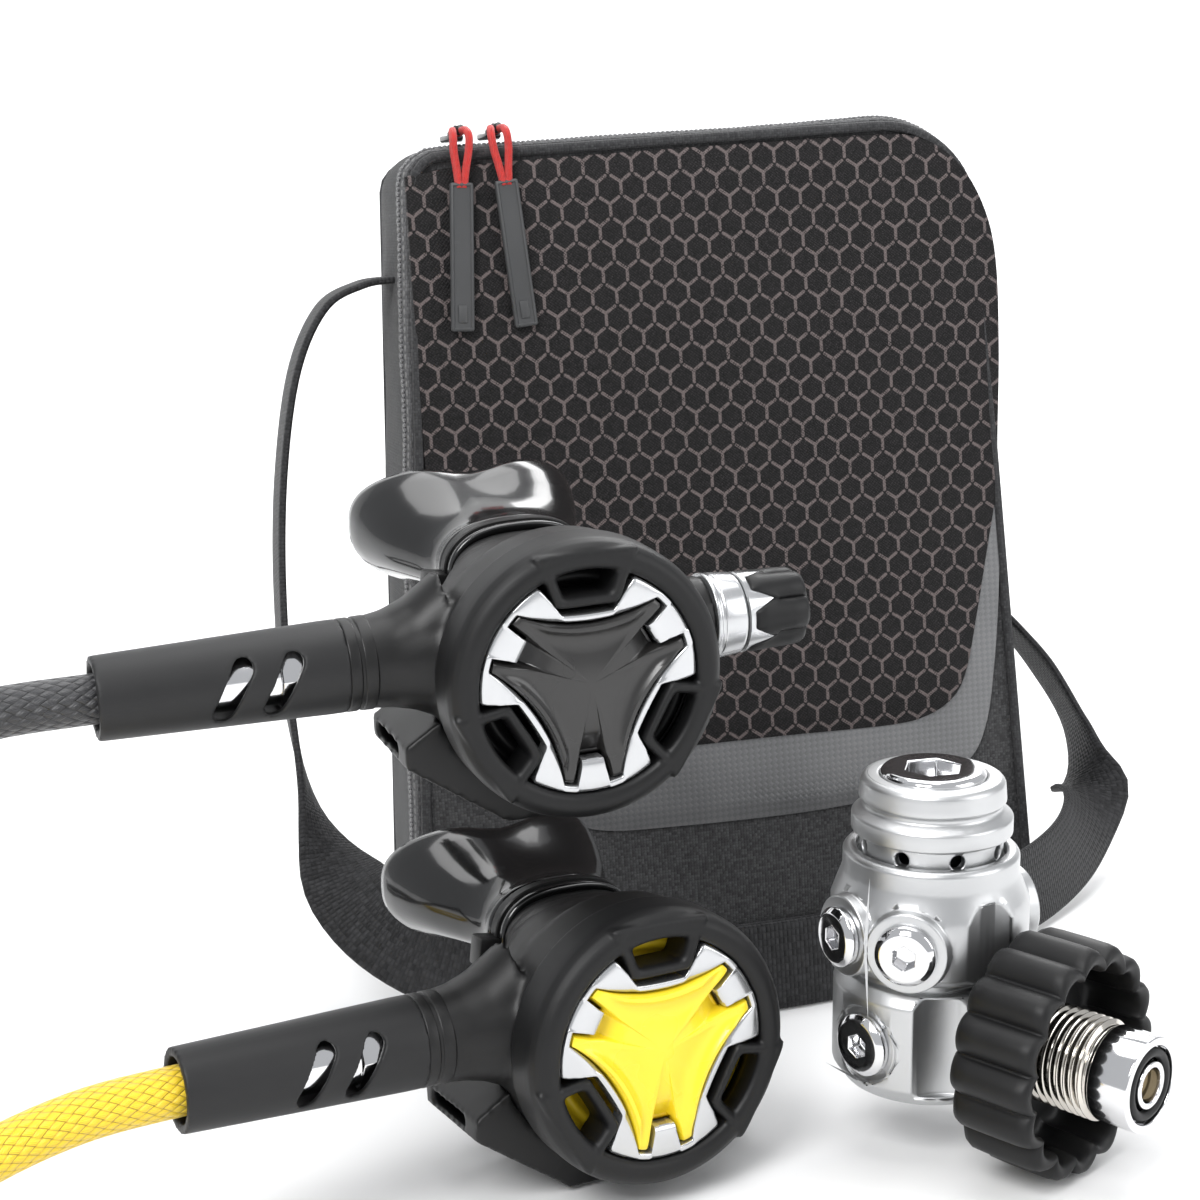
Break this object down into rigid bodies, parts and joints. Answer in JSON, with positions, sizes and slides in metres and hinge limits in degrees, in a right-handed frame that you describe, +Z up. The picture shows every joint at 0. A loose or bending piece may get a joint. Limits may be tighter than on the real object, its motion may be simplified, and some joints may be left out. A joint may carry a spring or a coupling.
{
  "type": "scuba regulator set",
  "caption": "Diver's breathing set: first stage with DIN screw fitting, main and spare second stages on braided hoses, and zipped shoulder bag.",
  "frame": {"origin": "centre of the footprint of the set without its hoses, on the floor", "axes": "+Z up, the bag's front looks along -Y, the hoses leave towards -X"},
  "size_m": [0.5544, 0.3057, 0.248],
  "materials": {
    "pack_cloth": "woven polyester, dark grey",
    "panel_cloth": "black woven polyester with a printed lattice",
    "zip_tape": "grey zip tape with a coil",
    "webbing": "black ribbed webbing",
    "zip_metal": "black lacquered",
    "pull_rubber": "moulded grey tab on a red cord",
    "satin_chrome": "pearl chrome, satin",
    "polished_chrome": "polished",
    "nickel": "bright nickel",
    "spring_steel": "drawn wire",
    "valve_brass": "machined",
    "sintered": "sintered filter",
    "soft_rubber": "matt moulded rubber",
    "black_plastic": "fine-grained moulding",
    "gloss_silicone": "glossy black silicone",
    "silver_trim": "satin silver",
    "black_button": "satin charcoal",
    "yellow_plastic": "satin yellow",
    "yellow_rubber": "yellow silicone",
    "black_braid": "woven nylon braid",
    "yellow_braid": "woven nylon braid"
  },
  "bodies": {
    "bag": {"bag_body": "pack_cloth", "bag_front": "panel_cloth", "bag_zip": "zip_tape", "bag_strap": "webbing"},
    "zip_slider_left": {"zip_slider_left": "zip_metal"},
    "zip_pull_left": {"zip_pull_left": "pull_rubber"},
    "zip_slider_right": {"zip_slider_right": "zip_metal"},
    "zip_pull_right": {"zip_pull_right": "pull_rubber"},
    "first_stage": {"fs_body": "satin_chrome", "fs_cap": "satin_chrome", "fs_main_spring": "spring_steel", "fs_diaphragm": "soft_rubber", "fs_poppet_spring": "spring_steel", "fs_chamber_plug": "satin_chrome", "fs_port_plugs": "polished_chrome", "din_bolt": "polished_chrome", "din_filter": "sintered", "din_o_ring": "soft_rubber"},
    "adjuster": {"fs_adjuster": "polished_chrome"},
    "supply_valve": {"fs_poppet": "valve_brass"},
    "din_wheel": {"din_thread": "nickel", "din_handwheel": "soft_rubber"},
    "primary_line": {"primary_swivel_nut": "polished_chrome", "primary_sleeve": "soft_rubber", "primary_hose": "black_braid", "primary_coil": "black_braid", "primary_hose_fitting": "polished_chrome"},
    "primary": {"primary_case": "black_plastic", "primary_cover": "soft_rubber", "primary_trim": "silver_trim", "primary_diaphragm": "soft_rubber", "primary_valve_tube": "satin_chrome", "primary_poppet_spring": "spring_steel", "primary_exhaust_valve": "gloss_silicone", "primary_exhaust_tee": "black_plastic", "primary_mouthpiece": "gloss_silicone", "primary_mouth_tie": "black_plastic"},
    "primary_button": {"primary_button": "black_button"},
    "primary_lever": {"primary_lever": "spring_steel"},
    "primary_poppet": {"primary_poppet": "valve_brass"},
    "primary_knob": {"primary_knob": "soft_rubber"},
    "octopus_line": {"octopus_swivel_nut": "polished_chrome", "octopus_sleeve": "soft_rubber", "octopus_hose": "yellow_braid", "octopus_coil": "yellow_braid", "octopus_hose_fitting": "polished_chrome"},
    "octopus": {"octopus_case": "black_plastic", "octopus_cover": "soft_rubber", "octopus_trim": "silver_trim", "octopus_diaphragm": "yellow_rubber", "octopus_valve_tube": "satin_chrome", "octopus_poppet_spring": "spring_steel", "octopus_exhaust_valve": "gloss_silicone", "octopus_exhaust_tee": "black_plastic", "octopus_mouthpiece": "gloss_silicone", "octopus_mouth_tie": "black_plastic"},
    "octopus_button": {"octopus_button": "yellow_plastic"},
    "octopus_lever": {"octopus_lever": "spring_steel"},
    "octopus_poppet": {"octopus_poppet": "valve_brass"}
  },
  "joints": [
    {"name": "zip_slider_left_run", "type": "slide", "parent": "bag", "child": "zip_slider_left", "axis": [1, 0, 0], "range_m": [-0.008, 0]},
    {"name": "zip_slider_right_run", "type": "slide", "parent": "bag", "child": "zip_slider_right", "axis": [1, 0, 0], "range_m": [0, 0.105]},
    {"name": "zip_pull_left_swing", "type": "hinge", "parent": "zip_slider_left", "child": "zip_pull_left", "pos_m": [-0.0433, 0.0788, 0.2469], "axis": [1, 0, 0], "range_deg": [-100, 0]},
    {"name": "zip_pull_right_swing", "type": "hinge", "parent": "zip_slider_right", "child": "zip_pull_right", "pos_m": [-0.0323, 0.0788, 0.2469], "axis": [1, 0, 0], "range_deg": [-100, 0]},
    {"name": "first_stage_lift", "type": "slide", "parent": "bag", "child": "first_stage", "axis": [0, 0, 1], "range_m": [0, 0.1]},
    {"name": "ip_adjuster_turn", "type": "hinge", "parent": "first_stage", "child": "adjuster", "pos_m": [0.02817, -0.09174, 0.0883], "axis": [0.0475, -0.0731, 0.9962], "range_deg": [-180, 180]},
    {"name": "supply_valve_open", "type": "slide", "parent": "first_stage", "child": "supply_valve", "axis": [-0.0475, 0.0731, -0.9962], "range_m": [0, 0.0006], "stiffness_N_per_m": 600, "springref_m": -0.002, "deforming": ["fs_poppet_spring"]},
    {"name": "din_wheel_spin", "type": "hinge", "parent": "first_stage", "child": "din_wheel", "pos_m": [0.04389, -0.11595, 0.02816], "axis": [0.5426, -0.8355, -0.0872], "continuous": true},
    {"name": "primary_lift_off", "type": "slide", "parent": "bag", "child": "primary_line", "axis": [0, 0, 1], "range_m": [0, 0.08]},
    {"name": "primary_hose_swivel", "type": "hinge", "parent": "primary_line", "child": "primary", "pos_m": [-0.10931, -0.07986, 0.1267], "axis": [0.9903, 0.1392, 0], "range_deg": [-8, 60]},
    {"name": "primary_purge_press", "type": "slide", "parent": "primary", "child": "primary_button", "axis": [-0.1384, 0.9848, 0.1045], "range_m": [0, 0.003], "stiffness_N_per_m": 600, "springref_m": -0.002, "deforming": ["primary_diaphragm"]},
    {"name": "primary_lever_swing", "type": "hinge", "parent": "primary", "child": "primary_lever", "pos_m": [-0.04262, -0.08013, 0.12569], "axis": [-0.0145, 0.1035, -0.9945], "range_deg": [0, 6.1]},
    {"name": "primary_poppet_lift", "type": "slide", "parent": "primary", "child": "primary_poppet", "axis": [0.9903, 0.1392, 0], "range_m": [0, 0.0008], "deforming": ["primary_poppet_spring"]},
    {"name": "primary_knob_turn", "type": "hinge", "parent": "primary", "child": "primary_knob", "pos_m": [-0.00533, -0.06525, 0.1267], "axis": [0.9903, 0.1392, 0], "range_deg": [-360, 360]},
    {"name": "octopus_pull_away", "type": "slide", "parent": "bag", "child": "octopus_line", "axis": [0, -1, 0], "range_m": [0, 0.08]},
    {"name": "octopus_hose_swivel", "type": "hinge", "parent": "octopus_line", "child": "octopus", "pos_m": [-0.10195, -0.09454, 0.04367], "axis": [0.9653, 0.2587, -0.0349], "range_deg": [-8, 4]},
    {"name": "octopus_purge_press", "type": "slide", "parent": "octopus", "child": "octopus_button", "axis": [-0.2582, 0.9659, 0.0174], "range_m": [0, 0.003], "stiffness_N_per_m": 600, "springref_m": -0.002, "deforming": ["octopus_diaphragm"]},
    {"name": "octopus_lever_swing", "type": "hinge", "parent": "octopus", "child": "octopus_lever", "pos_m": [-0.03576, -0.08674, 0.0412], "axis": [-0.0382, 0.0078, -0.9992], "range_deg": [0, 6.1]},
    {"name": "octopus_poppet_lift", "type": "slide", "parent": "octopus", "child": "octopus_poppet", "axis": [0.9653, 0.2587, -0.0349], "range_m": [0, 0.0008], "deforming": ["octopus_poppet_spring"]}
  ],
  "couplings": [
    {"joint": "primary_lever_swing", "follows": "primary_purge_press", "rad_per_m": 34.907},
    {"joint": "primary_poppet_lift", "follows": "primary_purge_press", "ratio": 0.25},
    {"joint": "octopus_lever_swing", "follows": "octopus_purge_press", "rad_per_m": 34.907},
    {"joint": "octopus_poppet_lift", "follows": "octopus_purge_press", "ratio": 0.25}
  ]
}
